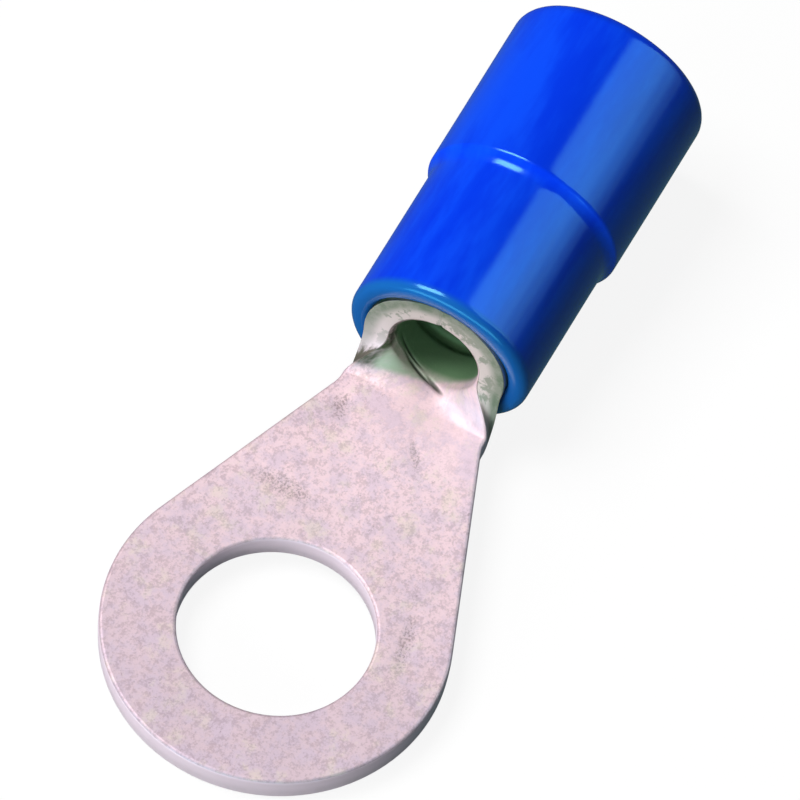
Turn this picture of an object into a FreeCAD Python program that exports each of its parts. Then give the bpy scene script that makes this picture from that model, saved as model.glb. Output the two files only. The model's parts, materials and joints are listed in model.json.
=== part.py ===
import FreeCAD, Part
import Sketcher
import math
import os

# Insulated ring cable lug for 1.5 to 2.5 mm2 wire and an M5 stud, in millimetres.
# Frame: the origin is the centre of the stud hole on the underside of the tongue. +Z is up through the
# hole, and +X runs along the barrel to the end where the wire goes in.

doc = FreeCAD.newDocument("cable_lug")

# Driving dimensions
SIZES = [
    # Stamped sheet and ring tongue
    ("sheet", 0.8, "thickness of the copper sheet"),
    ("stud_hole", 5.3, "diameter of the stud hole"),
    ("ring_width", 9.4, "outer diameter of the ring"),
    ("side_angle", 21.0, "angle of the tongue's straight sides to its length, degrees"),
    ("neck_width", 4.3, "width of the tongue at its neck"),
    ("neck_blend", 0.9, "radius between a straight side and the neck"),
    # Trough, where the sheet curls up from the neck to the barrel
    ("trough_start", 7.76, "from the stud's centre to the end of the tongue's outline"),
    ("trough_length", 1.08, "from there to the lip of the barrel"),
    ("flat_run", 0.04, "first part of that length, where the sheet is still flat"),
    ("curl_crowding", 1.7, "power of the curl's crowding towards the lip: 1 is even, more is later"),
    ("seam_gap", 0.08, "gap between the two edges of the sheet where they meet at the lip"),
    # Wire barrel
    ("wire_bore", 2.5, "inside diameter of the barrel"),
    ("barrel_length", 5.0, "length of the barrel behind its lip"),
    ("entry_chamfer", 0.25, "chamfer inside the barrel's rear edge"),
    ("seam_width", 0.14, "width of the groove over the butted seam"),
    ("seam_depth", 0.12, "depth of the groove over the butted seam"),
    # Moulded sleeve
    ("lip_recess", 0.04, "from the front of the sleeve in to the barrel's lip"),
    ("sleeve_fit", 0.01, "gap between the barrel and the sleeve, all round"),
    ("front_wall", 0.6, "wall of the narrow part"),
    ("front_length", 4.88, "length of the narrow part"),
    ("rear_length", 5.15, "length of the wide part"),
    ("shoulder_step", 0.19, "step outwards from the narrow part to the wide part"),
    ("rear_wall", 0.6, "wall of the wide part"),
    ("funnel_length", 0.5, "length of the cone from the narrow bore to the wide one"),
    ("front_rounding", 0.28, "radius of the front rim's outer edge"),
    ("shoulder_rounding", 0.17, "radius of the shoulder"),
    ("rear_rounding", 0.34, "radius of the rear rim's outer edge"),
    ("mouth_chamfer", 0.14, "chamfer of the rims' inner edges"),
]
sheet = doc.addObject("Spreadsheet::Sheet", "sizes")
for row, (alias, value, meaning) in enumerate(SIZES, start=1):
    sheet.set("A%d" % row, meaning)
    sheet.set("B%d" % row, str(value))
    sheet.setAlias("B%d" % row, alias)
doc.recompute()

# Lengths that follow from the driving dimensions, as expressions on the sheet
NECK_HALF = "(sizes.neck_width / 2)"
BARREL_RADIUS = "(sizes.wire_bore / 2 + sizes.sheet)"
LIP_X = "(sizes.trough_start + sizes.trough_length)"
BARREL_END_X = "(%s + sizes.barrel_length)" % LIP_X
SLEEVE_X = "(%s - sizes.lip_recess)" % LIP_X
SHOULDER_X = "(%s + sizes.front_length)" % SLEEVE_X
REAR_X = "(%s + sizes.rear_length)" % SHOULDER_X


def value_of(expression):
    """The present value of an expression on the sheet."""
    return float(sheet.evalExpression(expression))


def origin_plane(body, role):
    """The body's own origin plane with this role."""
    return [item for item in body.Origin.OriginFeatures if item.Role == role][0]


def sketch_on(body, role, name):
    """A new sketch of the body on one of its origin planes."""
    sketch = body.newObject("Sketcher::SketchObject", name)
    sketch.AttachmentSupport = [(origin_plane(body, role), "")]
    sketch.MapMode = "FlatFace"
    return sketch


def bind(sketch, name, constraint, expression):
    """Add a named dimension to the sketch and tie it to the sheet."""
    index = sketch.addConstraint(Sketcher.Constraint(*constraint))
    sketch.renameConstraint(index, name)
    sketch.setExpression("Constraints." + name, expression)


def point(x, y):
    """A point of a sketch."""
    return FreeCAD.Vector(x, y, 0)


def line(sketch, start, end):
    """A straight edge of a sketch, by its two ends."""
    return sketch.addGeometry(Part.LineSegment(point(*start), point(*end)), False)


def arc(sketch, centre, radius, first, last):
    """An arc of a sketch, counterclockwise from one angle in degrees to another."""
    circle = Part.Circle(point(*centre), FreeCAD.Vector(0, 0, 1), radius)
    return sketch.addGeometry(Part.ArcOfCircle(circle, math.radians(first), math.radians(last)), False)


def circular_edges(feature, x, radius):
    """Names of a feature's round edges about the barrel's axis, at this place and of this radius."""
    names = []
    for number, edge in enumerate(feature.Shape.Edges, start=1):
        curve = edge.Curve
        if curve.TypeId != "Part::GeomCircle":
            continue
        if abs(curve.Center.x - x) < 1e-4 and abs(curve.Radius - radius) < 1e-4 and abs(curve.Axis.x) > 0.99:
            names.append("Edge%d" % number)
    return names


# Ring terminal: one piece of tinned copper sheet, stamped flat and then rolled

START, END, CENTRE = 1, 2, 3
ORIGIN = (-1, 1)
X_AXIS, Y_AXIS = -1, -2

terminal = doc.addObject("PartDesign::Body", "ring_terminal")
terminal.Label = "ring_terminal"


def draw_tongue(sketch):
    """Ring, two straight sides that touch it, and a parallel neck, as one closed outline."""
    ring = value_of("sizes.ring_width / 2")
    angle = value_of("sizes.side_angle")
    neck = value_of(NECK_HALF)
    blend = value_of("sizes.neck_blend")
    end = value_of("sizes.trough_start")
    slope = math.radians(angle)
    touch = (ring * math.sin(slope), ring * math.cos(slope))
    corner = (ring / math.cos(slope) - neck) / math.tan(slope)
    reach = blend * math.tan(slope / 2)
    side_end = (corner - reach * math.cos(slope), neck + reach * math.sin(slope))
    neck_start = (corner + reach, neck)
    outer = arc(sketch, (0, 0), ring, 90 - angle, 270 + angle)
    left = line(sketch, touch, side_end)
    left_blend = arc(sketch, (neck_start[0], neck + blend), blend, 270 - angle, 270)
    left_neck = line(sketch, neck_start, (end, neck))
    back = line(sketch, (end, neck), (end, -neck))
    right_neck = line(sketch, (end, -neck), (neck_start[0], -neck))
    right_blend = arc(sketch, (neck_start[0], -neck - blend), blend, 90, 90 + angle)
    right = line(sketch, (side_end[0], -side_end[1]), (touch[0], -touch[1]))
    for constraint in [
            ("Coincident", outer, CENTRE, *ORIGIN),
            ("Tangent", outer, START, left, START),
            ("Tangent", left, END, left_blend, START),
            ("Tangent", left_blend, END, left_neck, START),
            ("Coincident", left_neck, END, back, START),
            ("Coincident", back, END, right_neck, START),
            ("Tangent", right_neck, END, right_blend, START),
            ("Tangent", right_blend, END, right, START),
            ("Tangent", right, END, outer, END),
            ("Horizontal", left_neck),
            ("Horizontal", right_neck),
            ("Symmetric", back, START, back, END, X_AXIS),
            ("Equal", left, right),
            ("Equal", left_blend, right_blend)]:
        sketch.addConstraint(Sketcher.Constraint(*constraint))
    bind(sketch, "ring", ("Radius", outer, ring), "sizes.ring_width / 2")
    bind(sketch, "blend", ("Radius", left_blend, blend), "sizes.neck_blend")
    bind(sketch, "neck", ("DistanceY", back, END, back, START, 2 * neck), "sizes.neck_width")
    bind(sketch, "reach", ("DistanceX", *ORIGIN, back, START, end), "sizes.trough_start")
    bind(sketch, "slope", ("Angle", left, -slope), "-sizes.side_angle")


def draw_flat_section(sketch):
    """The sheet while it is flat: a rectangle that lies on the contact plane."""
    half = value_of(NECK_HALF)
    thick = value_of("sizes.sheet")
    below = line(sketch, (-half, 0), (half, 0))
    right_edge = line(sketch, (half, 0), (half, thick))
    above = line(sketch, (half, thick), (-half, thick))
    left_edge = line(sketch, (-half, thick), (-half, 0))
    for constraint in [
            ("Coincident", below, END, right_edge, START),
            ("Coincident", right_edge, END, above, START),
            ("Coincident", above, END, left_edge, START),
            ("Coincident", left_edge, END, below, START),
            ("Vertical", right_edge),
            ("Vertical", left_edge),
            ("Horizontal", below),
            ("Horizontal", above),
            ("Symmetric", below, START, below, END, *ORIGIN)]:
        sketch.addConstraint(Sketcher.Constraint(*constraint))
    bind(sketch, "width", ("DistanceX", below, START, below, END, 2 * half), "sizes.neck_width")
    bind(sketch, "thickness", ("DistanceY", right_edge, START, right_edge, END, thick), "sizes.sheet")


def draw_curled_section(sketch, half_angle, outside):
    """The sheet while it curls: two concentric arcs that rest on the contact plane, closed by its cut edges."""
    radius = value_of(outside)
    thick = value_of("sizes.sheet")
    angle = value_of(half_angle)
    middle = (0, radius)

    def at(reach, degrees):
        turn = math.radians(degrees)
        return (reach * math.cos(turn), radius + reach * math.sin(turn))

    outer = arc(sketch, middle, radius, 270 - angle, 270 + angle)
    right_edge = line(sketch, at(radius, 270 + angle), at(radius - thick, 270 + angle))
    inner = arc(sketch, middle, radius - thick, 270 - angle, 270 + angle)
    left_edge = line(sketch, at(radius - thick, 270 - angle), at(radius, 270 - angle))
    for constraint in [
            ("Coincident", outer, END, right_edge, START),
            ("Coincident", right_edge, END, inner, END),
            ("Coincident", inner, START, left_edge, START),
            ("Coincident", left_edge, END, outer, START),
            ("Coincident", outer, CENTRE, inner, CENTRE),
            ("PointOnObject", outer, CENTRE, Y_AXIS),
            ("PointOnObject", outer, CENTRE, right_edge),
            ("PointOnObject", outer, CENTRE, left_edge),
            ("Horizontal", outer, START, outer, END)]:
        sketch.addConstraint(Sketcher.Constraint(*constraint))
    bind(sketch, "outside", ("Radius", outer, radius), outside)
    bind(sketch, "inside", ("Radius", inner, radius - thick), outside + " - sizes.sheet")
    bind(sketch, "height", ("DistanceY", *ORIGIN, outer, CENTRE, radius), outside)
    bind(sketch, "span", ("Angle", outer, math.radians(2 * angle)), "2 * " + half_angle)


def station(body, name, place):
    """A sketch across the barrel's axis, at this distance from the stud's centre."""
    sketch = sketch_on(body, "YZ_Plane", name)
    sketch.setExpression(".AttachmentOffset.Base.z", place)
    return sketch


tongue_outline = sketch_on(terminal, "XY_Plane", "tongue_outline")
draw_tongue(tongue_outline)
tongue = terminal.newObject("PartDesign::Pad", "tongue")
tongue.Profile = tongue_outline
tongue.setExpression("Length", "sizes.sheet")
doc.recompute()

hole_outline = sketch_on(terminal, "XY_Plane", "hole_outline")
hole = hole_outline.addGeometry(Part.Circle(point(0, 0), FreeCAD.Vector(0, 0, 1), 1), False)
hole_outline.addConstraint(Sketcher.Constraint("Coincident", hole, CENTRE, *ORIGIN))
bind(hole_outline, "diameter", ("Diameter", hole, 2), "sizes.stud_hole")
stud_hole = terminal.newObject("PartDesign::Pocket", "stud_hole")
stud_hole.Profile = hole_outline
stud_hole.Type = "ThroughAll"
stud_hole.Reversed = True
doc.recompute()

# The trough: the sheet curls from flat to a closed ring, slowly at first and fastest at the lip, and its
# outside stays about as wide as the neck. So the outer radius is the half width over the sine of the half
# angle, up to a quarter turn a side. The share of the curl that is done goes from 0 to 1 in a few stations.
CURLS = 9
SPACING = 1.3
MIDDLE_RADIUS = "(sizes.wire_bore / 2 + sizes.sheet / 2)"
SEAM_ANGLE = "(180 - sizes.seam_gap / 2 / %s * 180 / pi)" % MIDDLE_RADIUS

flat_start = station(terminal, "flat_start", "sizes.trough_start")
draw_flat_section(flat_start)
flat_end = station(terminal, "flat_end", "sizes.trough_start + sizes.flat_run")
draw_flat_section(flat_end)
sections = [flat_end]
for number in range(1, CURLS + 1):
    share = round((number / CURLS) ** SPACING, 6)
    progress = "(1 - %r ^ sizes.curl_crowding) ^ (1 / sizes.curl_crowding)" % round(1 - share, 6)
    place = ("sizes.trough_start + sizes.flat_run + (sizes.trough_length - sizes.flat_run) * " + progress)
    half_angle = "(%s * %r)" % (SEAM_ANGLE, share)
    half_width = "(%s + (%s - %s) * %r)" % (NECK_HALF, BARREL_RADIUS, NECK_HALF, share)
    outside = "(%s / sin(min(%s; 90) * 1 deg))" % (half_width, half_angle)
    section = station(terminal, "curl_%d" % number, place)
    draw_curled_section(section, half_angle, outside)
    sections.append(section)
trough = terminal.newObject("PartDesign::AdditiveLoft", "trough")
trough.Profile = flat_start
trough.Sections = sections
trough.Ruled = True
doc.recompute()

# The barrel: a tube that rests on the contact plane like the trough's last section
barrel_ring = station(terminal, "barrel_ring", LIP_X)
for name, size in [("outside", BARREL_RADIUS), ("inside", "sizes.wire_bore / 2")]:
    radius = value_of(size)
    circle = Part.Circle(point(0, value_of(BARREL_RADIUS)), FreeCAD.Vector(0, 0, 1), radius)
    edge = barrel_ring.addGeometry(circle, False)
    barrel_ring.addConstraint(Sketcher.Constraint("PointOnObject", edge, CENTRE, Y_AXIS))
    bind(barrel_ring, name, ("Radius", edge, radius), size)
    bind(barrel_ring, name + "_height", ("DistanceY", *ORIGIN, edge, CENTRE, value_of(BARREL_RADIUS)),
         BARREL_RADIUS)
barrel = terminal.newObject("PartDesign::Pad", "barrel")
barrel.Profile = barrel_ring
barrel.setExpression("Length", "sizes.barrel_length")
doc.recompute()

# The chamfer that leads the strands in
entry = terminal.newObject("PartDesign::Chamfer", "entry")
entry.Base = (barrel, circular_edges(barrel, value_of(BARREL_END_X), value_of("sizes.wire_bore / 2")))
entry.setExpression("Size", "sizes.entry_chamfer")
doc.recompute()

# The seam: a shallow V outside and inside, where the sheet's two rounded edges butt along the top
seam_outline = station(terminal, "seam_outline", LIP_X)
for name, surface, side in [("outside", BARREL_RADIUS + " * 2", -1),
                            ("inside", BARREL_RADIUS + " * 2 - sizes.sheet", 1)]:
    half = value_of("sizes.seam_width / 2")
    level = value_of(surface)
    tip = level + side * value_of("sizes.seam_depth")
    mouth = level - side * value_of("sizes.seam_depth")
    across = line(seam_outline, (-half, mouth), (half, mouth))
    down = line(seam_outline, (half, mouth), (0, tip))
    up = line(seam_outline, (0, tip), (-half, mouth))
    for constraint in [
            ("Coincident", across, END, down, START),
            ("Coincident", down, END, up, START),
            ("Coincident", up, END, across, START),
            ("Symmetric", across, START, across, END, Y_AXIS),
            ("PointOnObject", down, END, Y_AXIS)]:
        seam_outline.addConstraint(Sketcher.Constraint(*constraint))
    bind(seam_outline, name + "_width", ("DistanceX", across, START, across, END, 2 * half), "sizes.seam_width")
    bind(seam_outline, name + "_tip", ("DistanceY", *ORIGIN, down, END, tip),
         "%s %s sizes.seam_depth" % (surface, "+" if side > 0 else "-"))
    bind(seam_outline, name + "_mouth", ("DistanceY", *ORIGIN, across, END, mouth),
         "%s %s sizes.seam_depth" % (surface, "-" if side > 0 else "+"))
seam = terminal.newObject("PartDesign::Pocket", "seam")
seam.Profile = seam_outline
seam.Reversed = True
seam.setExpression("Length", "sizes.barrel_length")
terminal.Tip = seam
doc.recompute()

# Insulating sleeve: one moulding, turned about the barrel's axis

sleeve = doc.addObject("PartDesign::Body", "insulating_sleeve")
sleeve.Label = "insulating_sleeve"
FRONT_BORE = "(%s + sizes.sleeve_fit)" % BARREL_RADIUS
FRONT_OUTSIDE = "(%s + sizes.front_wall)" % FRONT_BORE
REAR_OUTSIDE = "(%s + sizes.shoulder_step)" % FRONT_OUTSIDE
REAR_BORE = "(%s - sizes.rear_wall)" % REAR_OUTSIDE
FUNNEL_X = "(%s + sizes.sleeve_fit)" % BARREL_END_X
CORNERS = [
    ("front_inside", SLEEVE_X, FRONT_BORE),
    ("front_outside", SLEEVE_X, FRONT_OUTSIDE),
    ("shoulder_foot", SHOULDER_X, FRONT_OUTSIDE),
    ("shoulder_top", SHOULDER_X, REAR_OUTSIDE),
    ("rear_outside", REAR_X, REAR_OUTSIDE),
    ("rear_inside", REAR_X, REAR_BORE),
    ("funnel_rear", "%s + sizes.funnel_length" % FUNNEL_X, REAR_BORE),
    ("funnel_front", FUNNEL_X, FRONT_BORE),
]
profile = sketch_on(sleeve, "XZ_Plane", "profile")
profile.setExpression(".AttachmentOffset.Base.y", BARREL_RADIUS)
corners = [(value_of(place), value_of(radius)) for name, place, radius in CORNERS]
sides = [line(profile, corners[i - 1], corners[i]) for i in range(len(corners))]
for i in range(len(sides)):
    profile.addConstraint(Sketcher.Constraint("Coincident", sides[i - 1], END, sides[i], START))
for i, (name, place, radius) in enumerate(CORNERS):
    bind(profile, name + "_place", ("DistanceX", *ORIGIN, sides[i], END, corners[i][0]), place)
    bind(profile, name + "_radius", ("DistanceY", *ORIGIN, sides[i], END, corners[i][1]), radius)
shell = sleeve.newObject("PartDesign::Revolution", "shell")
shell.Profile = profile
shell.ReferenceAxis = (profile, ["H_Axis"])
shell.Angle = 360
doc.recompute()

# The rims and the shoulder are rounded outside and the rims are chamfered inside, and none takes more than
# its share of the wall or step that carries it
finished = shell
for name, kind, setting, size, share, carrier, (place, radius) in [
        ("front_rim", "Fillet", "Radius", "sizes.front_rounding", 0.6, "sizes.front_wall", corners[1]),
        ("shoulder", "Fillet", "Radius", "sizes.shoulder_rounding", 0.9, "sizes.shoulder_step", corners[3]),
        ("rear_rim", "Fillet", "Radius", "sizes.rear_rounding", 0.6, "sizes.rear_wall", corners[4]),
        ("rear_mouth", "Chamfer", "Size", "sizes.mouth_chamfer", 0.3, "sizes.rear_wall", corners[5]),
        ("front_mouth", "Chamfer", "Size", "sizes.mouth_chamfer", 0.3, "sizes.front_wall", corners[0])]:
    edge = sleeve.newObject("PartDesign::" + kind, name)
    edge.Base = (finished, circular_edges(finished, place, radius))
    edge.setExpression(setting, "min(%s; %r * %s)" % (size, share, carrier))
    doc.recompute()
    finished = edge
sleeve.Tip = finished
doc.recompute()

# Nothing is written unless every object is sound
for item in doc.Objects:
    if "Invalid" in item.State or "Error" in item.State:
        raise SystemExit("failed: " + item.Name)
    if item.TypeId == "Sketcher::SketchObject" and not item.FullyConstrained:
        raise SystemExit("not fully constrained: " + item.Name)
os.makedirs("parts", exist_ok=True)
for body in (terminal, sleeve):
    shape = body.Shape
    if shape.isNull() or not shape.isValid() or len(shape.Solids) != 1:
        raise SystemExit("bad shape: " + body.Label)
    shape.exportStep("parts/%s.step" % body.Label)
    print(body.Label, "volume %.3f mm3," % shape.Volume, len(shape.Faces), "faces,", shape.BoundBox)
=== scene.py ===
# %% [markdown]
# # An insulated ring cable lug
#
# The part is two things: a piece of tinned copper sheet, stamped to a ring and rolled into a barrel, and a
# glossy blue moulding over the barrel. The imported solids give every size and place. This lesson dresses
# them: each is replaced by a finer surface that stays on its solid, and gets a finish with real detail.

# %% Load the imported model
import json
import math
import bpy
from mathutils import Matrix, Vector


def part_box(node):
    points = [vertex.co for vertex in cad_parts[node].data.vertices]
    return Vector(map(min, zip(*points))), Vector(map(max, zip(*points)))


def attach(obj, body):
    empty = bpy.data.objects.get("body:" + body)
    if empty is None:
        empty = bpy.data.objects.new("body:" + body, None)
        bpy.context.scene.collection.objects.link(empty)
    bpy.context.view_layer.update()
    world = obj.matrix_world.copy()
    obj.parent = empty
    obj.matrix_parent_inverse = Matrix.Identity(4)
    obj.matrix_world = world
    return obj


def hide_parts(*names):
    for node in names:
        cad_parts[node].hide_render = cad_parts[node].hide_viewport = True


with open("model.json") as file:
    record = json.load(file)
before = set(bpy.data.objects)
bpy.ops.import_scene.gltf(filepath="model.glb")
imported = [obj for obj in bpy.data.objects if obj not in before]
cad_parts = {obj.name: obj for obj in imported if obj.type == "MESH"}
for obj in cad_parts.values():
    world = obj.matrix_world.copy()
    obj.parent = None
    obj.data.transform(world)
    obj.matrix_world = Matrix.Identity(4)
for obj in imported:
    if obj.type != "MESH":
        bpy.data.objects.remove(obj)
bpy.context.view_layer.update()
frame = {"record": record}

from types import SimpleNamespace

import bmesh
import bpy
import numpy as np
from mathutils import Euler, Vector

# %% [markdown]
# ## Sizes
#
# Numbers are easier to read in millimetres, so shapes are worked out in those and written to the mesh in
# metres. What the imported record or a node's box can tell is read from there. The rest are the same named
# sizes that the solid model has, and a few small ones that only a close look shows.

# %% Sizes that the frame gives
MM = 0.001
mounts = {mount["name"]: mount for mount in frame["record"]["mounts"]}
metal_low, metal_high = [np.array(corner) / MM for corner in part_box("ring_terminal")]
sleeve_low, sleeve_high = [np.array(corner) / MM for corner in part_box("insulating_sleeve")]
SHEET = mounts["stud_hole"]["dims"]["length_mm"]
HOLE = mounts["stud_hole"]["dims"]["r_mm"]
RING = -metal_low[0]
BORE = mounts["wire_barrel"]["dims"]["r_mm"]
BARREL = BORE + SHEET
AXIS_Z = mounts["wire_barrel"]["pos_m"][2] / MM
REAR_BORE = mounts["insulation_entry"]["dims"]["r_mm"]
BARREL_END = metal_high[0]
print("sheet", SHEET, "ring", round(RING, 3), "barrel", BARREL, "ends at", round(BARREL_END, 3))

# %% Sizes that the solid model names
SIDE_ANGLE = math.radians(21.0)
NECK_HALF = 2.15
NECK_BLEND = 0.9
TROUGH_START = 7.76
CROWDING = 1.7
LIP_RECESS = 0.04
LIP = sleeve_low[0] + LIP_RECESS
TROUGH = LIP - TROUGH_START
print("the sheet curls over", round(TROUGH, 3), "mm, up to the lip at", round(LIP, 3))

# %% [markdown]
# ## From grids to a mesh
#
# Every surface here is a function of two parameters, worked out on a grid as one array. A grid of points
# turns into quads by pairing each point with its neighbours, which is index arithmetic and needs no loop.
# Several grids make one closed skin when their shared borders are welded.

# %% A grid's faces
WELD_DISTANCE = 1e-4 * MM
SLIVER = 1e-5 * MM


def quads(rows, columns, closed):
    """Corner numbers of a grid's faces: point (i, j) with (i, j+1), (i+1, j+1) and (i+1, j), numbered by
    rows. A closed grid also joins its last column to its first."""
    i = np.arange(rows - 1)[:, None]
    j = np.arange(columns if closed else columns - 1)[None, :]
    after = (j + 1) % columns
    corners = [i * columns + j, i * columns + after, (i + 1) * columns + after, (i + 1) * columns + j]
    return np.stack([np.broadcast_to(c, (rows - 1, j.size)) for c in corners], -1).reshape(-1, 4)


def make_piece(name, grids, node, marks):
    """One welded piece from grids of (points in mm, closed or not). Marks are vertex values by name."""
    starts = np.cumsum([0] + [points.shape[0] * points.shape[1] for points, closed in grids])
    places = np.concatenate([points.reshape(-1, 3) for points, closed in grids]) * MM
    faces = np.concatenate([quads(*points.shape[:2], closed) + start
                            for (points, closed), start in zip(grids, starts)])
    mesh = bpy.data.meshes.new(name)
    mesh.from_pydata(places, [], faces)
    for label, values in marks.items():
        kind, field = ("FLOAT", "value") if values.ndim == 1 else ("FLOAT_VECTOR", "vector")
        mesh.attributes.new(label, kind, "POINT").data.foreach_set(field, values.astype(np.float32).ravel())
    weld = bmesh.new()
    weld.from_mesh(mesh)
    bmesh.ops.remove_doubles(weld, verts=weld.verts, dist=WELD_DISTANCE)
    bmesh.ops.dissolve_degenerate(weld, edges=weld.edges, dist=SLIVER)
    bmesh.ops.recalc_face_normals(weld, faces=weld.faces)
    open_edges = sum(1 for edge in weld.edges if not edge.is_manifold)
    weld.to_mesh(mesh)
    weld.free()
    mesh.shade_smooth()
    piece = bpy.data.objects.new(name, mesh)
    bpy.context.scene.collection.objects.link(piece)
    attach(piece, "root")
    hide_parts(node)
    print(name, len(mesh.vertices), "points,", len(mesh.polygons), "faces,", open_edges, "open edges")
    return piece


# %% [markdown]
# ## The terminal, as the press makes it
#
# The real piece starts as a flat blank of sheet, and its edges are rounded and torn by the die before it
# is rolled. So it is built flat too: a point is (along, across, height above the underside). One function
# then rolls every point, and the cut edge twists from the neck's side to the barrel's lip by itself. Cutting
# that shape from a tube would need the twist to be drawn by hand.

# %% The roll
LEAST_SHARE = 1e-7


def curl_at(along):
    """Half angle and outer radius of the sheet at a place. The curl that is left, to the power of the
    crowding, is one less the progress along the trough to the same power, and the radius keeps the outside
    as wide as the neck. The share has a least value, so that the radius of flat sheet is a number."""
    progress = np.clip((along - TROUGH_START) / TROUGH, 0, 1)
    share = 1 - (1 - progress ** CROWDING) ** (1 / CROWDING)
    half_angle = math.pi * np.maximum(share, LEAST_SHARE)
    half_width = NECK_HALF + (BARREL - NECK_HALF) * share
    return half_angle, half_width / np.sin(np.minimum(half_angle, math.pi / 2))


def roll(blank):
    """Wraps the blank: the distance across, over the middle radius, is the angle about the roll's centre,
    and the height above the underside comes off the radius."""
    along, across, height = np.moveaxis(blank, -1, 0)
    radius = curl_at(along)[1]
    angle = across / (radius - SHEET / 2)
    reach = radius - height
    curled = np.stack([along, reach * np.sin(angle), radius - reach * np.cos(angle)], -1)
    return np.where((along <= TROUGH_START)[..., None], blank, curled)


print("half angle half way along the trough:", np.degrees(curl_at(TROUGH_START + TROUGH / 2)[0]).round(1))

# %% [markdown]
# A punched edge has a soft die roll on top, a burnished wall, a torn and slightly drawn-in lower part, and
# a small bottom radius. Its profile is the distance in from the outline against the height.

# %% The punched edge
DIE_ROLL = 0.1
BOTTOM_RADIUS = 0.04
TEAR_INSET = 0.025
ARC_POINTS = 6
WALL_SHARES = np.linspace(0.12, 0.9, 5)


def punched_profile():
    """Quarter circle at the top, a wall that leans in where it is torn, quarter circle at the bottom."""
    turn = np.linspace(0, math.pi / 2, ARC_POINTS)
    top = np.stack([DIE_ROLL * (1 - np.sin(turn)), SHEET - DIE_ROLL * (1 - np.cos(turn))], -1)
    drop = SHEET - DIE_ROLL - BOTTOM_RADIUS
    wall = np.stack([TEAR_INSET * WALL_SHARES ** 2, SHEET - DIE_ROLL - drop * WALL_SHARES], -1)
    bottom_inset = TEAR_INSET + BOTTOM_RADIUS * (1 - np.cos(turn))
    bottom = np.stack([bottom_inset, BOTTOM_RADIUS * (1 - np.sin(turn))], -1)
    return np.concatenate([top, wall, bottom])


EDGE = punched_profile()
print("the punched edge has", len(EDGE), "points, insets", EDGE[0, 0], "to", EDGE[-1, 0].round(3))

# %% The tongue's outline
SIDE_POINTS = 180


def tongue_side():
    """From the neck's end to the ring's tip on the +Y side: neck, blend arc, tangent line and ring arc,
    each as (place, outward direction), spaced evenly along the edge."""
    touch = RING * np.array([math.sin(SIDE_ANGLE), math.cos(SIDE_ANGLE)])
    corner = (RING / math.cos(SIDE_ANGLE) - NECK_HALF) / math.tan(SIDE_ANGLE)
    reach = NECK_BLEND * math.tan(SIDE_ANGLE / 2)
    lengths = [TROUGH_START - corner - reach, NECK_BLEND * SIDE_ANGLE,
               math.hypot(corner - touch[0], NECK_HALF - touch[1]) - reach,
               RING * (math.pi / 2 + SIDE_ANGLE)]
    ends = np.cumsum([0] + lengths)
    s = np.linspace(0, ends[-1], SIDE_POINTS)
    bend = np.clip((s - ends[1]) / NECK_BLEND, 0, SIDE_ANGLE)
    turned = np.clip((s - ends[3]) / RING, 0, None)
    tilt = np.where(s <= ends[3], bend, SIDE_ANGLE)
    normal_angle = math.pi / 2 - tilt + turned
    outward = np.stack([np.cos(normal_angle), np.sin(normal_angle)], -1)
    neck = np.stack([TROUGH_START - s, np.full_like(s, NECK_HALF)], -1)
    arc_centre = np.array([corner + reach, NECK_HALF + NECK_BLEND])
    blend = arc_centre - NECK_BLEND * outward
    left = s - ends[3]
    line = touch + left[:, None] * np.array([-math.cos(SIDE_ANGLE), math.sin(SIDE_ANGLE)])
    ring = RING * outward
    choose = np.searchsorted(ends[1:4], s)[:, None]
    return np.select([choose == 0, choose == 1, choose == 2], [neck, blend, line], ring), outward


side_place, side_outward = tongue_side()
flip = np.array([1, -1])
outline = np.concatenate([side_place, side_place[-2::-1] * flip])
outward = np.concatenate([side_outward, side_outward[-2::-1] * flip])
print("outline of", len(outline), "points, from x", outline[:, 0].min().round(3), "to", outline[:, 0].max())

# %% [markdown]
# The tongue is a strip that runs round the hole: each column goes out from the hole's edge to the outline,
# or to the straight line where the trough takes over. The trough's rows are then lines across the blank.
# Points across lie closer together towards the edges, as the sine of an evenly growing angle does.

# %% The blank's outline along the trough
ROWS = 56
COLUMNS = 144
WIDEST = 0.94 * math.pi / 2
across_share = np.sin(np.linspace(-WIDEST, WIDEST, COLUMNS + 1)) / math.sin(WIDEST)
quarter = np.linspace(0, math.pi / 2, ROWS)
wing_along = TROUGH_START + TROUGH * np.sin(quarter) ** (2 / CROWDING)
wing_angle, wing_radius = curl_at(wing_along)
wing_width = np.where(quarter > 0, wing_angle * (wing_radius - SHEET / 2), NECK_HALF)
wings = np.stack([wing_along, wing_width], -1)
steps = np.gradient(wings, quarter, axis=0)
steps[0] = [TROUGH, 0]
steps[-1] = [0, 1]
wing_outward = np.stack([-steps[:, 1], steps[:, 0]], -1) / np.linalg.norm(steps, axis=1)[:, None]
print("the blank widens from", NECK_HALF, "to", wing_width[-1].round(3), "mm a side")


# %% Grids of the tongue
UPPER_ROWS = 44
LOWER_ROWS = 10


def with_height(flat, height):
    """Points of the plan, at this height."""
    return np.concatenate([flat, np.broadcast_to(height, flat.shape[:-1])[..., None]], -1)


def inset(places, directions, distance):
    """Places moved in from the outline."""
    return places - directions * distance


def span(start, end, shares):
    """A grid from one line of points to another, by shares of the way."""
    return start + (end - start) * shares[:, None, None]


def punched_wall(places, directions):
    """The edge's profile carried along an outline: rows are the profile's points."""
    return np.stack([with_height(inset(places, directions, d), h) for d, h in EDGE])


def tongue_rim(distance):
    """The tongue's outline, moved in, and closed by the straight line where the trough starts."""
    back = np.stack([np.full(COLUMNS + 1, TROUGH_START), (NECK_HALF - distance) * across_share], -1)
    return np.concatenate([inset(outline, outward, distance), back])


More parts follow.
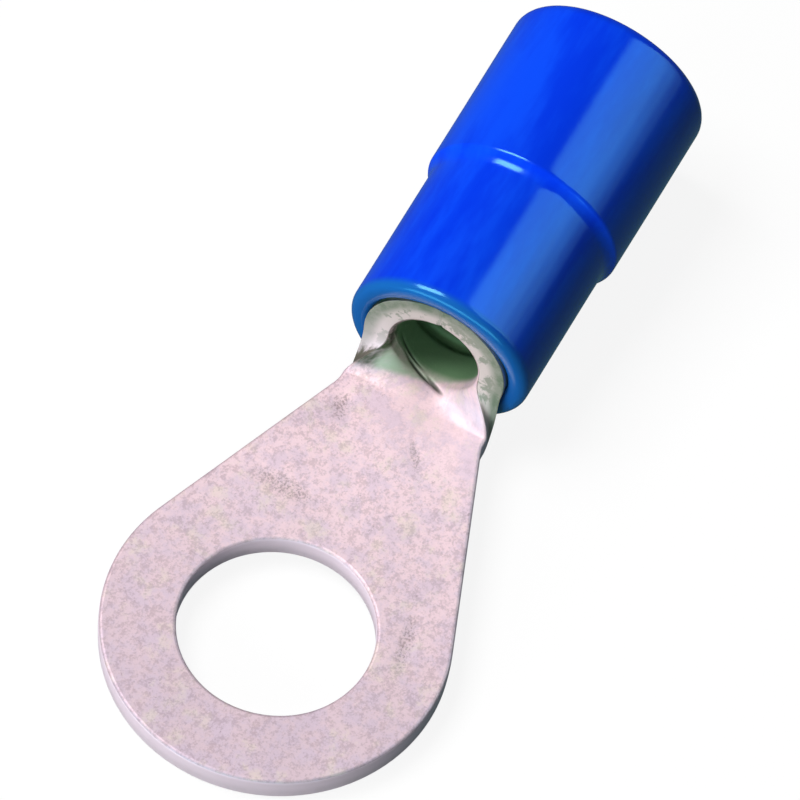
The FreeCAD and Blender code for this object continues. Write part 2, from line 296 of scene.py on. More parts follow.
upper_rim = tongue_rim(EDGE[0, 0])
towards = upper_rim / np.linalg.norm(upper_rim, axis=1)[:, None]


def tongue_face(rows, edge_point):
    """The tongue's upper or lower face: columns from the hole's rounded edge to the outline, cosine
    spaced."""
    distance, height = edge_point
    shares = (1 - np.cos(np.linspace(0, math.pi, rows))) / 2
    return with_height(span(towards * (HOLE + distance), tongue_rim(distance), shares), height)


upper_face = tongue_face(UPPER_ROWS, EDGE[0])
lower_face = tongue_face(LOWER_ROWS, EDGE[-1])
hole_wall = punched_wall(towards * HOLE, -towards)
outer_wall = punched_wall(outline, outward)
print("tongue grids:", upper_face.shape, lower_face.shape, hole_wall.shape, outer_wall.shape)


# %% Grids of the trough
def trough_face(edge_point):
    """Rows across the blank, each between its two inset edges."""
    distance, height = edge_point
    rim = inset(wings, wing_outward, distance)
    across = rim[:, 1:] * across_share
    return with_height(np.stack([np.broadcast_to(rim[:, :1], across.shape), across], -1), height)


left_wall = punched_wall(wings, wing_outward)
right_wall = left_wall * np.array([1, -1, 1])
trough_grids = [trough_face(EDGE[0]), trough_face(EDGE[-1]), left_wall, right_wall]
print("trough grids:", [grid.shape for grid in trough_grids])

# %% [markdown]
# Behind the lip the blank is one long rectangle whose two long edges meet along the top. Its inside has
# three pressed grooves that bite into the strands, and its rear edge is chamfered for them.

# %% The barrel's grid
ENTRY_CHAMFER = 0.25
BITE_DEPTH = 0.06
BITE_WIDTH = 0.16
BITES = LIP + np.array([1.1, 2.3, 3.5])
INSIDE_POINTS = 90
OUTSIDE_POINTS = 12

inside = np.linspace(LIP + EDGE[0, 0], BARREL_END - ENTRY_CHAMFER, INSIDE_POINTS)
bite = np.exp(-((inside[:, None] - BITES) / BITE_WIDTH) ** 4).sum(1)
inside = np.stack([inside, SHEET - BITE_DEPTH * bite], -1)
rear = np.array([[BARREL_END, SHEET - ENTRY_CHAMFER], [BARREL_END, BOTTOM_RADIUS],
                 [BARREL_END - BOTTOM_RADIUS, 0]])
outside = np.linspace([BARREL_END - 2 * BOTTOM_RADIUS, 0], [LIP + EDGE[-1, 0], 0], OUTSIDE_POINTS)
barrel_profile = np.concatenate([inside, rear, outside])
half_turn = math.pi * (BARREL - SHEET / 2)
barrel = np.stack(np.broadcast_arrays(barrel_profile[:, :1], half_turn * across_share,
                                      barrel_profile[:, 1:]), -1)
print("barrel grid:", barrel.shape)

# %% [markdown]
# Stamped sheet is never quite flat. The upper face gets a very shallow unevenness and a few dents and
# creases, as functions of the place on the blank, and the butted seam gets its groove.

# %% Unevenness, dents and the seam
# Each wave: height in mm, turns along and across in radians to a mm, phase
WAVES = [(0.004, 1.3, 0.7, 0.0), (0.004, -0.9, 2.1, 1.0), (0.002, 3.7, 2.9, 0.0)]
# Each mark: along, across, half length, half width, turn in degrees from along, depth in mm
CREASES = [(8.7, 0.55, 0.8, 0.05, 76.0, 0.03), (8.97, 1.2, 0.75, 0.035, 80.0, 0.022),
           (8.55, -0.22, 0.4, 0.075, 68.0, 0.03)]
SCUFFS = [(6.77, 1.66, 0.4, 0.28, 20.0, 0.016), (3.86, 1.85, 0.9, 0.3, 88.0, 0.014),
          (6.4, -0.75, 0.5, 0.12, 35.0, 0.014), (1.28, -3.2, 0.9, 0.2, 14.0, 0.014)]
SEAM_WIDTH = 0.07
SEAM_DEPTH = 0.1
SEAM_INSIDE = 0.03
SEAM_CALM = 0.3


def in_mark(along, across, mark):
    """The place in a mark's own ellipse: the distance along it over its half length, and the distance
    across it over its half width. It takes arrays, and in the finish sockets."""
    centre_along, centre_across, half_length, half_width, turn = mark[:-1]
    c, s = math.cos(math.radians(turn)), math.sin(math.radians(turn))
    ahead, aside = along - centre_along, across - centre_across
    return (ahead * c + aside * s) * (1 / half_length), (aside * c - ahead * s) * (1 / half_width)


def dent(along, across, mark):
    """The mark's depth in its middle, 0 outside: a bell across it, a flatter one along it."""
    u, v = in_mark(along, across, mark)
    return mark[-1] * np.exp(-u ** 4 - v ** 2)


def worn(blank):
    """Moves the points of the blank's upper side by the waves, which die out at the seam, and the marks,
    in proportion to their height, and draws both faces in along the seam."""
    along, across, height = np.moveaxis(blank, -1, 0)
    from_seam = half_turn - np.abs(across)
    waves = sum(size * np.sin(u * along + v * across + phase) for size, u, v, phase in WAVES)
    waves = waves * (1 - np.exp(-(from_seam / SEAM_CALM) ** 2))
    dents = sum(dent(along, across, mark) for mark in CREASES + SCUFFS)
    height = height + (waves - dents) * height / SHEET
    groove = np.exp(-(from_seam / SEAM_WIDTH) ** 2) * (along > LIP - SHEET)
    height = height + groove * (SEAM_DEPTH - (SEAM_DEPTH + SEAM_INSIDE) * height / SHEET)
    along = along + SEAM_INSIDE * groove * (along < LIP + DIE_ROLL)
    return np.stack([along, across, height], -1)


# %% Roll and weld the terminal
ring_grids = [upper_face, lower_face, hole_wall]
strip_grids = [outer_wall, *trough_grids, barrel]
blank_grids = ring_grids + strip_grids
closed = [True] * len(ring_grids) + [False] * len(strip_grids)
walls = [hole_wall, outer_wall, left_wall, right_wall]
CUT_ROWS = slice(4, -2)


def cut_share(grid):
    """1 on the punched walls, but for the first points of their two roundings, and 0 on the faces."""
    share = np.zeros(grid.shape[:2])
    if any(grid is wall for wall in walls):
        share[CUT_ROWS] = 1
    return share.ravel()


solid_grids = [(roll(worn(grid)), is_closed) for grid, is_closed in zip(blank_grids, closed)]
terminal_marks = {
    "blank": np.concatenate([grid.reshape(-1, 3) for grid in blank_grids]),
    "cut": np.concatenate([cut_share(grid) for grid in blank_grids]),
}
terminal = make_piece("terminal_sheet", solid_grids, "ring_terminal", terminal_marks)

# %% [markdown]
# ## The moulded sleeve
#
# The sleeve is turned in shape: one profile carried round the barrel's axis. A closed profile makes a
# closed skin with no poles. The narrow part flares up to the shoulder over a few tenths of a millimetre,
# which catches the light. A moulding shrinks a little unevenly, so its radius varies by a few micrometres,
# and that bends the reflections slightly, as on the real one.

# %% The sleeve's profile
SLEEVE_FIT = 0.01
FRONT_WALL = 0.6
FRONT_LENGTH = 4.88
FUNNEL = 0.5
MOUTH_CHAMFER = 0.14
FRONT_ROUNDING = 0.28
SHOULDER_ROUNDING = 0.165
SHOULDER_SHIFT = 0.04
FLARE = 0.5
REAR_ROUNDING = 0.34
# Points of an arc, and inner points of the straight stretches
ROUNDING_POINTS = 9
SKIN_POINTS = 40
REAR_BORE_POINTS = 12
INNER_POINTS = 6

bore_radius = BARREL + SLEEVE_FIT
front_radius = bore_radius + FRONT_WALL
rear_radius = sleeve_high[1]
front_x, rear_x = sleeve_low[0], sleeve_high[0]
funnel_x = BARREL_END + SLEEVE_FIT


def arc(centre, radius, first, last):
    """Arc of (x, r) points about a centre, between two angles in degrees."""
    turn = np.radians(np.linspace(first, last, ROUNDING_POINTS))
    return np.asarray(centre) + radius * np.stack([np.cos(turn), np.sin(turn)], -1)


def straight(start, end, steps):
    """Inner points of a straight stretch, without its two ends."""
    return np.linspace(start, end, steps + 2)[1:-1]


front_rim = arc((front_x + FRONT_ROUNDING, front_radius - FRONT_ROUNDING), FRONT_ROUNDING, 180, 90)
rise = math.degrees(math.acos(1 - (rear_radius - front_radius) / (FLARE + SHOULDER_ROUNDING)))
top_x = front_x + FRONT_LENGTH + SHOULDER_SHIFT
flare_x = top_x - (FLARE + SHOULDER_ROUNDING) * math.sin(math.radians(rise))
foot = arc((flare_x, front_radius + FLARE), FLARE, 270, 270 + rise)
shoulder = arc((top_x, rear_radius - SHOULDER_ROUNDING), SHOULDER_ROUNDING, 90 + rise, 90)[1:]
rear_rim = arc((rear_x - REAR_ROUNDING, rear_radius - REAR_ROUNDING), REAR_ROUNDING, 90, 0)
inner = np.array([
    [rear_x, REAR_BORE + MOUTH_CHAMFER], [rear_x - MOUTH_CHAMFER, REAR_BORE],
    [funnel_x + FUNNEL, REAR_BORE], [funnel_x, bore_radius],
    [front_x + MOUTH_CHAMFER, bore_radius], [front_x, bore_radius + MOUTH_CHAMFER]])
sleeve_profile = np.concatenate([
    front_rim, straight(front_rim[-1], foot[0], SKIN_POINTS), foot, shoulder,
    straight(shoulder[-1], rear_rim[0], SKIN_POINTS), rear_rim,
    inner[:2], straight(inner[1], inner[2], REAR_BORE_POINTS),
    inner[2:3], straight(inner[2], inner[3], INNER_POINTS),
    inner[3:4], straight(inner[3], inner[4], INNER_POINTS), inner[4:], front_rim[:1]])
print("the sleeve's profile has", len(sleeve_profile), "points")

# %% Turn the sleeve
SHRINK = 0.002
# Each wave of the shrinkage: lobes round the sleeve, turns along it in radians to a mm, phase
SHRINK_WAVES = [(2, 0.8, 0.0), (3, -1.1, 2.0)]
TURN_POINTS = 256


def turned(profile):
    """Each profile point (x, r) at each angle about the barrel's axis. Outside the bores the radius is
    less by the shrinkage, whose two waves leave it between 0 and 4 times its size."""
    angle = np.linspace(0, 2 * math.pi, TURN_POINTS, endpoint=False)
    x, r = profile[:, :1], profile[:, 1:]
    waves = sum(np.sin(lobes * angle + along * x + phase) for lobes, along, phase in SHRINK_WAVES)
    r = r + SHRINK * (waves - len(SHRINK_WAVES)) * (r > REAR_BORE + MOUTH_CHAMFER)
    return np.stack([x + 0 * angle, r * np.cos(angle), AXIS_Z + r * np.sin(angle)], -1)


sleeve_grids = [(turned(sleeve_profile), True)]
sleeve = make_piece("sleeve_moulding", sleeve_grids, "insulating_sleeve", {})

# %% [markdown]
# ## Writing shaders as sums
#
# A shader's maths is easier to read as an expression than as a list of nodes and links. One small class
# holds a socket. Its operators add Math nodes, and one method adds any other node. The last four methods
# are short names for what is used most.

# %% A socket that can be used in sums
class Signal:
    """An output socket of a node tree."""

    def __init__(self, tree, socket=None):
        self.tree = tree
        self.socket = socket

    def node(self, kind, settings=None, output=0, **inputs):
        """Adds a node: its settings first, then its inputs by name (a space written as _), and returns
        one of its outputs, by name or number."""
        node = self.tree.nodes.new(kind)
        for name, value in (settings or {}).items():
            setattr(node, name, value)
        for name, value in inputs.items():
            wanted = name.replace("_", " ")
            socket = [s for s in node.inputs if s.name == wanted and s.enabled][0]
            self.feed(socket, value)
        return Signal(self.tree, node.outputs[output])

    def feed(self, socket, value):
        """A link from a signal, or a plain value."""
        if isinstance(value, Signal):
            self.tree.links.new(value.socket, socket)
        else:
            socket.default_value = value

    def math(self, operation, first, second=0.0):
        """One Math node."""
        node = self.tree.nodes.new("ShaderNodeMath")
        node.operation = operation
        self.feed(node.inputs[0], first)
        self.feed(node.inputs[1], second)
        return Signal(self.tree, node.outputs[0])

    def __add__(self, other):
        return self.math("ADD", self, other)

    def __sub__(self, other):
        return self.math("SUBTRACT", self, other)

    def __rsub__(self, other):
        return self.math("SUBTRACT", other, self)

    def __mul__(self, other):
        return self.math("MULTIPLY", self, other)

    __radd__ = __add__
    __rmul__ = __mul__

    def between(self, low, high):
        """0 below low, 1 above high, smooth between. With low above high it falls instead."""
        return self.node("ShaderNodeMapRange", {"interpolation_type": "SMOOTHSTEP"}, Value=self,
                         From_Min=low, From_Max=high)

    def noise(self, place, scale, detail, roughness):
        """Noise from 0 to 1 at a place: bumps to a unit, octaves, and the roughness of the octaves."""
        return self.node("ShaderNodeTexNoise", Vector=place, Scale=scale, Detail=detail, Roughness=roughness)

    def parts(self, place):
        """The three numbers of a place, from one node."""
        first = self.node("ShaderNodeSeparateXYZ", Vector=place)
        return [Signal(self.tree, socket) for socket in first.socket.node.outputs]

    def blend(self, share, first, second):
        """A colour part of the way from the first to the second."""
        node = self.tree.nodes.new("ShaderNodeMix")
        node.data_type = "RGBA"
        for name, value in (("Factor_Float", share), ("A_Color", first), ("B_Color", second)):
            socket = [s for s in node.inputs if s.identifier == name][0]
            self.feed(socket, value)
        return Signal(self.tree, [s for s in node.outputs if s.identifier == "Result_Color"][0])


def empty_tree(name):
    """A material with nothing in its tree but the output."""
    material = bpy.data.materials.new(name)
    material.use_nodes = True
    tree = material.node_tree
    tree.nodes.clear()
    return material, tree, tree.nodes.new("ShaderNodeOutputMaterial")


def new_finish(name):
    """A material with a Principled shader, and a signal to build on."""
    material, tree, output = empty_tree(name)
    shader = tree.nodes.new("ShaderNodeBsdfPrincipled")
    tree.links.new(shader.outputs[0], output.inputs[0])
    return material, shader, Signal(tree)


def colour(red, green, blue):
    """A colour as it looks on a screen, 0 to 255, in the linear values that a shader takes."""
    level = np.array([red, green, blue]) / 255
    linear = np.where(level <= 0.04045, level / 12.92, ((level + 0.055) / 1.055) ** 2.4)
    return (*linear.tolist(), 1.0)


print("colour(128, 128, 128) is", np.round(colour(128, 128, 128), 3))

# %% [markdown]
# ## Matte tin
#
# The plating is dull and a little mottled: patches that lean to pink, to lilac and to cream, a fine grain,
# and small grey specks where it is worn. Patterns read the place on the flat blank, so they follow the
# metal through the curl. They come first, because the faces and the edges share them.

# %% The tin's patterns
# Each noise: bumps to a millimetre, octaves, roughness of the octaves. With four of them, the level where
# it starts to show, and the level where it shows fully.
PATCHES, PATCHES_SHOW = (1.6, 4.0, 0.7), (0.4, 0.62)
CREAM_CLOUDS, CREAM_SHOWS = (1.1, 4.0, 0.7), (0.52, 0.68)
SPECKS, SPECKS_SHOW = (3.1, 5.0, 0.75), (0.62, 0.72)
BLOTCHES, BLOTCHES_SHOW = (1.9, 4.0, 0.65), (0.47, 0.56)
MOTTLE = (5.5, 4.0, 0.65)
GRAIN = (16.0, 3.0, 0.6)
MARK_REACH = 1.6


def tin_patterns(s):
    """The place on the blank, the share of cut edge, and the noises, each as a signal."""
    blank = s.node("ShaderNodeAttribute", {"attribute_name": "blank"}, output="Vector")
    along, across, height = s.parts(blank)
    return SimpleNamespace(
        along=along, across=across, height=height,
        cut=s.node("ShaderNodeAttribute", {"attribute_name": "cut"}, output="Fac"),
        patches=s.noise(blank, *PATCHES).between(*PATCHES_SHOW),
        cream=s.noise(blank, *CREAM_CLOUDS).between(*CREAM_SHOWS),
        specks=s.noise(blank, *SPECKS).between(*SPECKS_SHOW),
        blotches=s.noise(blank, *BLOTCHES).between(*BLOTCHES_SHOW),
        mottle=s.noise(blank, *MOTTLE),
        grain=s.noise(blank, *GRAIN))


def marked(s, p, marks):
    """How much of any of these marks shows at a place: all of it in the middle of an ellipse, fading out
    to a little past its edge, by the sum of the squares of the place in the mark."""
    share = 0.0
    for mark in marks:
        u, v = in_mark(p.along, p.across, mark)
        share = s.math("MAXIMUM", share, (u * u + v * v).between(MARK_REACH, 0.0))
    return share


# %% [markdown]
# The faces are painted in layers, each over the one before by its own share. The neck is painted lighter
# than the ring, a painted sheen, and its middle stays clean. Inside the curl the tin is painted olive, a
# painted shade and dark reflection, darker at the left wing's foot as a painted shadow, and inside the
# barrel's mouth green, a painted shade of the bore.

# %% The faces' colour
RING_PINK = colour(211, 187, 196)
NECK_SHEEN_PINK = colour(240, 211, 217)
LILAC = colour(196, 180, 202)
CREAM = colour(224, 213, 192)
WORN_GREY = colour(142, 116, 122)
MARK_BROWN = colour(128, 112, 106)
WING_SHADE_OLIVE = colour(172, 184, 160)
WING_SHADOW_DARK = colour(60, 70, 44)
BORE_SHADE_GREEN = colour(112, 152, 110)
CREASE_SHADE_GREY = colour(58, 66, 54)

# Shares of a layer, and what patterns add to them or take off
PATCH_SHARE = 0.4
MOTTLE_SHARE, CLEANED = 0.32, 0.22
SPECK_SHARE = 0.45
RUB_SHARE, RUB_GRAIN = 0.12, 0.4
WING_SHARE, WING_PATCHES = 0.7, 0.3
BARREL_SHARE = 0.95
CREASE_SHARE = 0.9
# Levels of a noise, or places in mm: none of the layer at the first, all of it at the second
GRAIN_PART, MOTTLE_SHOWS = 0.4, (0.46, 0.6)
RUB_SHOWS = (0.46, 0.62)
CLEAN_ALONG, CLEAN_ACROSS = (5.4, 7.6), (1.8, 0.2)
WING_STARTS, WING_SLANT = (LIP - 0.34, LIP - 0.12), 0.3
DARK_STARTS, DARK_SLANT = (-5.95, -5.55), 0.9
BARREL_STARTS, BARREL_FADES = (LIP - 0.1, LIP + 0.2), (LIP + 2.6, LIP + 1.5)


def face_colour(s, p):
    """Pink, painted lighter towards the neck as a painted sheen, patches, mottle, specks and rub marks, and
    then the painted shade of the curl, the barrel and the creases.
    """
    # The neck is painted lighter than the ring: a painted sheen that grows towards the neck.
    face = s.blend(p.along.between(-RING, TROUGH_START), RING_PINK, NECK_SHEEN_PINK)
    face = s.blend(p.patches * PATCH_SHARE, face, LILAC)
    face = s.blend(p.cream * PATCH_SHARE, face, CREAM)
    clean = p.along.between(*CLEAN_ALONG) * p.across.between(*CLEAN_ACROSS)
    mottled = (p.mottle * (1 - GRAIN_PART) + p.grain * GRAIN_PART).between(*MOTTLE_SHOWS)
    face = s.blend(mottled * (MOTTLE_SHARE - clean * CLEANED), face, WORN_GREY)
    face = s.blend(p.specks * SPECK_SHARE, face, WORN_GREY)
    rubbed = RUB_SHARE + p.grain.between(*RUB_SHOWS) * RUB_GRAIN
    face = s.blend(marked(s, p, SCUFFS) * rubbed, face, MARK_BROWN)
    # Inside the curl the tin is painted olive, with patches: a painted shade and dark reflection. Towards
    # the left wing's foot it is painted darker still, a painted shadow.
    wing = (p.along + p.across * WING_SLANT).between(*WING_STARTS)
    dark = (p.across - p.along * DARK_SLANT).between(*DARK_STARTS)
    wing_shade = wing * (WING_SHARE + p.patches * WING_PATCHES)
    face = s.blend(wing_shade, face, s.blend(dark, WING_SHADE_OLIVE, WING_SHADOW_DARK))
    # Inside the barrel's mouth the tin is painted green: a painted shade of the bore, fading out deeper in.
    inside = p.along.between(*BARREL_STARTS) * p.along.between(*BARREL_FADES)
    face = s.blend(inside * BARREL_SHARE, face, BORE_SHADE_GREEN)
    # The creases are painted dark grey: painted shade in their dents.
    return s.blend(marked(s, p, CREASES) * CREASE_SHARE, face, CREASE_SHADE_GREY)


# %% [markdown]
# The cut edges are barer than the faces: smooth near the top and torn and darker below. At the lip they
# are cream inside and painted olive outside, in blotches, a painted shade, and one wing's torn corner is
# painted dark olive, the painted shade of the tear.

# %% The cut edges' colour
EDGE_GREY = colour(246, 226, 238)
TORN_GREY = colour(226, 209, 218)
LIP_CREAM = colour(206, 196, 191)
LIP_SHADE_OLIVE = colour(110, 126, 104)
TEAR_SHADE_OLIVE = colour(60, 60, 30)
BURR_RED = colour(112, 86, 84)

# Shares of a layer, and what patterns add to them
TORN_SHARE, TORN_AT_LIP, TORN_PATCHES = 0.55, 0.2, 0.25
BLOTCH_SHARE = 0.7
TEAR_SHARE = 0.9
BURR_SHARE = 0.8
# Places in mm: none of the layer at the first, all of it at the second
LIP_STARTS = (TROUGH_START + 0.4, LIP)
RIGHT_WING, RIGHT_SOONER = (0.0, -1.5), 0.5
TORN_BELOW = (0.65 * SHEET, 0.2 * SHEET)
TEAR_STARTS, TEAR_ENDS = (LIP - 0.66, LIP - 0.54), (LIP - 0.2, LIP - 0.34)
TEAR_SIDE, TEAR_RAGGED = (0.5, 1.5), 0.3
BURR_SIDES = (1.2, 1.9)


def edge_over(s, p, face):
    """The edge's colour where the metal is cut, the face's elsewhere, and a red burr where they meet at
    the lip: the burr is highest where the share of cut is one half."""
    at_lip = (p.along + p.across.between(*RIGHT_WING) * RIGHT_SOONER).between(*LIP_STARTS)
    # torn is the share of torn, darker metal, and at the lip also of the olive painted shade, in blotches.
    torn = p.height.between(*TORN_BELOW) * (TORN_SHARE + at_lip * TORN_AT_LIP + p.patches * TORN_PATCHES)
    torn = s.math("MAXIMUM", torn, at_lip * p.blotches * BLOTCH_SHARE)
    edge = s.blend(torn, s.blend(at_lip, EDGE_GREY, LIP_CREAM), s.blend(at_lip, TORN_GREY, LIP_SHADE_OLIVE))
    # One wing's torn corner is painted dark olive: the painted shade of a tear that the mesh doesn't cut.
    ragged = p.along + p.mottle * TEAR_RAGGED
    tear = p.across.between(*TEAR_SIDE) * ragged.between(*TEAR_STARTS) * ragged.between(*TEAR_ENDS)
    edge = s.blend(tear * TEAR_SHARE, edge, TEAR_SHADE_OLIVE)
    burr = p.cut * (1 - p.cut) * 4 * at_lip * s.math("ABSOLUTE", p.across).between(*BURR_SIDES)
    return s.blend(burr * BURR_SHARE, s.blend(p.cut, face, edge), BURR_RED)


# %% The tin finish
DULL, DULL_MOTTLE, DULL_SPECKS = 0.5, 0.2, 0.1
FACE_METALLIC, EDGE_METALLIC = 0.5, 0.22
GRAIN_DEPTH, GRAIN_STRENGTH, MOTTLE_HEIGHT = 0.006 * MM, 0.5, 0.8


def tin_finish():
    """The terminal's material: colour, a roughness and a bump that follow the mottle, and less of the
    metal's reflection on the cut edges."""
    material, shader, s = new_finish("matte_tin")
    p = tin_patterns(s)
    bump = s.node("ShaderNodeBump", Strength=GRAIN_STRENGTH, Distance=GRAIN_DEPTH,
                  Height=p.grain + p.mottle * MOTTLE_HEIGHT)
    s.feed(shader.inputs["Base Color"], edge_over(s, p, face_colour(s, p)))
    s.feed(shader.inputs["Roughness"], DULL + p.mottle * DULL_MOTTLE + p.specks * DULL_SPECKS)
    s.feed(shader.inputs["Normal"], bump)
    s.feed(shader.inputs["Metallic"], FACE_METALLIC - p.cut * (FACE_METALLIC - EDGE_METALLIC))
    return material


terminal.data.materials.append(tin_finish())
print("matte tin has", len(terminal.data.materials[0].node_tree.nodes), "nodes")

# %% [markdown]
# ## Glossy blue plastic
#
# A dense pigment in a clear glossy plastic. The body is one strong blue that hardly varies, so the finish
# is mostly in its reflections: a low roughness with a faint unevenness, and a tint on what it reflects.
# The front rim is painted a darker teal, a painted reflection and shade. The unevenness is drawn out along
# the sleeve, as the plastic flowed in the mould.

# %% The sleeve's finish
BLUE = colour(7, 72, 238)
DEEP_BLUE = colour(0, 52, 224)
RIM_REFLECTION_TEAL = colour(18, 92, 170)
REFLECTION_TINT = (0.3, 0.93, 1.0, 1.0)
RIM_STARTS = ((front_x + 0.42) * MM, (front_x + 0.1) * MM)
FLOW_STRETCH = (0.25, 1.0, 1.0)
# Each noise: bumps to a metre, octaves, roughness of the octaves
CLOUD, CLOUD_SHOWS = (900.0, 4.0, 0.6), (0.35, 0.65)
PEEL = (2600.0, 2.0, 0.5)
PEEL_DEPTH, PEEL_STRENGTH = 0.004 * MM, 0.25
GLOSSY, GLOSSY_CLOUD = 0.14, 0.06
REFRACTION = 1.6


def sleeve_finish():
    """The moulding's material."""
    material, shader, s = new_finish("blue_plastic")
    place = s.node("ShaderNodeTexCoord", output="Object")
    cloud = s.noise(s.node("ShaderNodeMapping", Vector=place, Scale=FLOW_STRETCH), *CLOUD)
    body = s.blend(cloud.between(*CLOUD_SHOWS), DEEP_BLUE, BLUE)
    # The front rim is painted a darker teal: a painted reflection and shade.
    rim = s.parts(place)[0].between(*RIM_STARTS)
    bump = s.node("ShaderNodeBump", Strength=PEEL_STRENGTH, Distance=PEEL_DEPTH,
                  Height=s.noise(place, *PEEL))
    s.feed(shader.inputs["Base Color"], s.blend(rim, body, RIM_REFLECTION_TEAL))
    s.feed(shader.inputs["Roughness"], GLOSSY + cloud * GLOSSY_CLOUD)
    s.feed(shader.inputs["Normal"], bump)
    shader.inputs["Specular Tint"].default_value = REFLECTION_TINT
    shader.inputs["IOR"].default_value = REFRACTION
    return material


sleeve.data.materials.append(sleeve_finish())
print("blue plastic has", len(sleeve.data.materials[0].node_tree.nodes), "nodes")

# %% [markdown]
# ## The stage
#
# The lug lies as it would on a table: its mass is near the neck, so it touches the floor at the ring's tip
# and at the front rim of the sleeve. The floor is therefore a few degrees off the tongue's plane, by the
# steepest line from the tip to the sleeve's lower side. The camera sees it white, with the part's soft
# shadow close to it. Reflections show it as a dim, cool grey, and it throws only a little light back up.

# %% The floor's finish
WHITE = (1.0, 1.0, 1.0, 1.0)
COOL = (0.4, 0.9, 1.0, 1.0)
SHADOW_FADE = (0.04, 0.12)
GLOW = 0.8
NEAR_SHINE = 1.12
SEEN_GREY = 0.45
BOUNCE_GREY = 0.08
MIRRORED_LESS = 0.06
MIRRORED_GLOW = 0.13


def floor_finish():
    """To the camera, true shading in proportion to 1 - glow, and the rest glows, so lit floor comes to
    white and only shadow shows. Away from the part it glows fully. To other rays it is a darker grey, and
    to reflections a cool one."""
    material, tree, output = empty_tree("white_floor")
    s = Signal(tree)
    camera_ray = s.node("ShaderNodeLightPath", output="Is Camera Ray")
    glossy_ray = s.node("ShaderNodeLightPath", output="Is Glossy Ray")
    transmission_ray = s.node("ShaderNodeLightPath", output="Is Transmission Ray")
    seen = s.math("MAXIMUM", camera_ray, transmission_ray)
    place = s.node("ShaderNodeTexCoord", output="Object")
    far = s.node("ShaderNodeVectorMath", {"operation": "LENGTH"}, output="Value", Vector=place)
    far = far.between(*SHADOW_FADE)
    glow = GLOW + far * (1 - GLOW)
    grey = seen * SEEN_GREY + (BOUNCE_GREY - glossy_ray * MIRRORED_LESS)
    shine_colour = s.blend(glossy_ray, WHITE, COOL)
    shine_level = NEAR_SHINE - far * (NEAR_SHINE - 1)
    mix = tree.nodes.new("ShaderNodeMixShader")
    s.feed(mix.inputs[0], seen * glow + glossy_ray * MIRRORED_GLOW)
    s.feed(mix.inputs[1], s.node("ShaderNodeBsdfDiffuse", Color=grey))
    s.feed(mix.inputs[2], s.node("ShaderNodeEmission", Color=shine_colour, Strength=shine_level))
    tree.links.new(mix.outputs[0], output.inputs[0])
    return material


# %% The floor
FLOOR_SIZE = 3.0
CLEARANCE = 0.01

slope = ((AXIS_Z - sleeve_profile[:, 1]) / (sleeve_profile[:, 0] + RING)).min()
half = FLOOR_SIZE / MM / 2
level = slope * RING - CLEARANCE
plan = [(-half, -half), (half, -half), (half, half), (-half, half)]
floor_mesh = bpy.data.meshes.new("floor")
floor_mesh.from_pydata([(x * MM, y * MM, (level + slope * x) * MM) for x, y in plan], [], [(0, 1, 2, 3)])
floor = bpy.data.objects.new("floor", floor_mesh)
bpy.context.scene.collection.objects.link(floor)
floor_mesh.materials.append(floor_finish())
print("the floor leans by", round(math.degrees(math.atan(slope)), 2), "degrees")

# %% [markdown]
# ## Light and camera
#
# One soft lamp, high on the left, models the sleeve's roundness. A smaller one stands low in front of the
# ring, a little to the left, and lights the cut edges, so that the sleeve's right side stays dark. The
# others are panels that only show in reflections: one in front draws the line round the sleeve's front
# rim, and one on the right, with two weaker ones below it, draws the light band along the sleeve, which is
# crisp on its upper side and fades out on its lower side.

# %% Lamps
MIDDLE = Vector((0.008, 0.0, 0.002))
PANEL_TINT = (0.7, 0.98, 1.0)
# Each lamp: name, azimuth and elevation in degrees, distance, width and height in metres, radiance
KEY = ("key", 95, 60, 0.5, 0.27, 0.27, 11.0)
FRONT = ("front", 166, 12, 0.4, 0.3, 0.2, 8.8)
# Each panel: the same, and its tint
PANELS = [("rim_panel", 180, 12, 0.4, 0.7, 0.16, 3.4, COOL[:3]),
          ("right_panel", -51, 43, 0.3, 0.207, 0.207, 2.3, PANEL_TINT),
          ("right_fade", -51, 18.5, 0.3, 0.207, 0.058, 1.4, PANEL_TINT),
          ("right_low_fade", -51, 8, 0.3, 0.207, 0.052, 0.6, PANEL_TINT)]


def towards_sky(azimuth, elevation):
    """The direction with this azimuth from +X and this elevation, in degrees."""
    a, e = math.radians(azimuth), math.radians(elevation)
    return Vector((math.cos(e) * math.cos(a), math.cos(e) * math.sin(a), math.sin(e)))


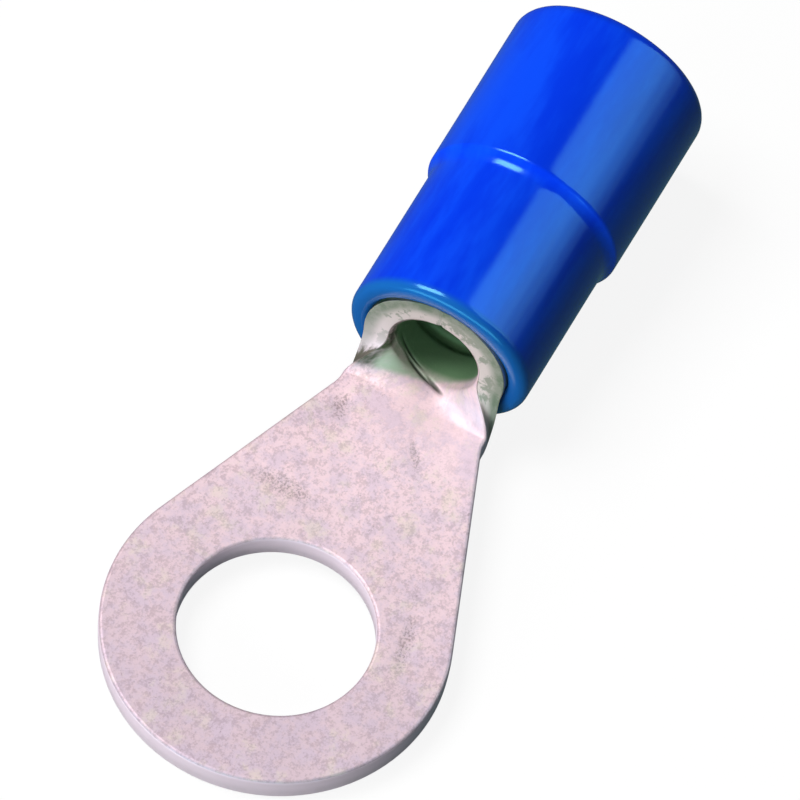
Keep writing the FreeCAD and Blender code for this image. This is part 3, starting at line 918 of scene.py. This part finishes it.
def lamp(name, azimuth, elevation, distance, width, height, radiance):
    """A rectangular lamp that faces the part, with this radiance, where 1 is a white surface's."""
    light = bpy.data.lights.new(name, "AREA")
    light.shape = "RECTANGLE"
    light.size, light.size_y, light.energy = width, height, radiance * math.pi * width * height
    holder = bpy.data.objects.new(name, light)
    direction = towards_sky(azimuth, elevation)
    holder.location = MIDDLE + direction * distance
    holder.rotation_euler = direction.to_track_quat("Z", "Y").to_euler()
    bpy.context.scene.collection.objects.link(holder)
    return holder


lamp(*KEY)
lamp(*FRONT).visible_glossy = False
for *stand, tint in PANELS:
    panel = lamp(*stand)
    panel.visible_diffuse = False
    panel.data.color = tint
print("lamps:", [light.name for light in bpy.data.lights])

# %% World
ROOM_LIGHT = 0.07

world = bpy.data.worlds.new("studio")
bpy.context.scene.world = world
world.use_nodes = True
room = Signal(world.node_tree)
seen_directly = room.node("ShaderNodeLightPath", output="Is Camera Ray")
background = world.node_tree.nodes["Background"]
background.inputs["Color"].default_value = WHITE
room.feed(background.inputs["Strength"], seen_directly * (1 - ROOM_LIGHT) + ROOM_LIGHT)
print("the room is white to the camera, and", ROOM_LIGHT, "of white to everything else")

# %% The camera
AIM = Vector((0.00814, 0.00058, 0.0))
CAMERA_DISTANCE = 0.5317
CAMERA_AZIMUTH = -158.73
CAMERA_ELEVATION = 60.02
CAMERA_ROLL = 7.81
LENS = 900.0
SENSOR = 36.0

camera_data = bpy.data.cameras.new("camera")
camera_data.sensor_width = SENSOR
camera_data.lens = LENS
camera_data.clip_start, camera_data.clip_end = 0.01, 10.0
camera = bpy.data.objects.new("camera", camera_data)
back = towards_sky(CAMERA_AZIMUTH, CAMERA_ELEVATION)
camera.location = AIM + back * CAMERA_DISTANCE
upright = (-back).to_track_quat("-Z", "Y")
camera.rotation_mode = "QUATERNION"
camera.rotation_quaternion = upright @ Euler((0, 0, math.radians(CAMERA_ROLL))).to_quaternion()
bpy.context.scene.collection.objects.link(camera)
bpy.context.scene.camera = camera
bpy.context.scene.view_settings.view_transform = "Standard"
print("camera at", np.round(camera.location, 4))
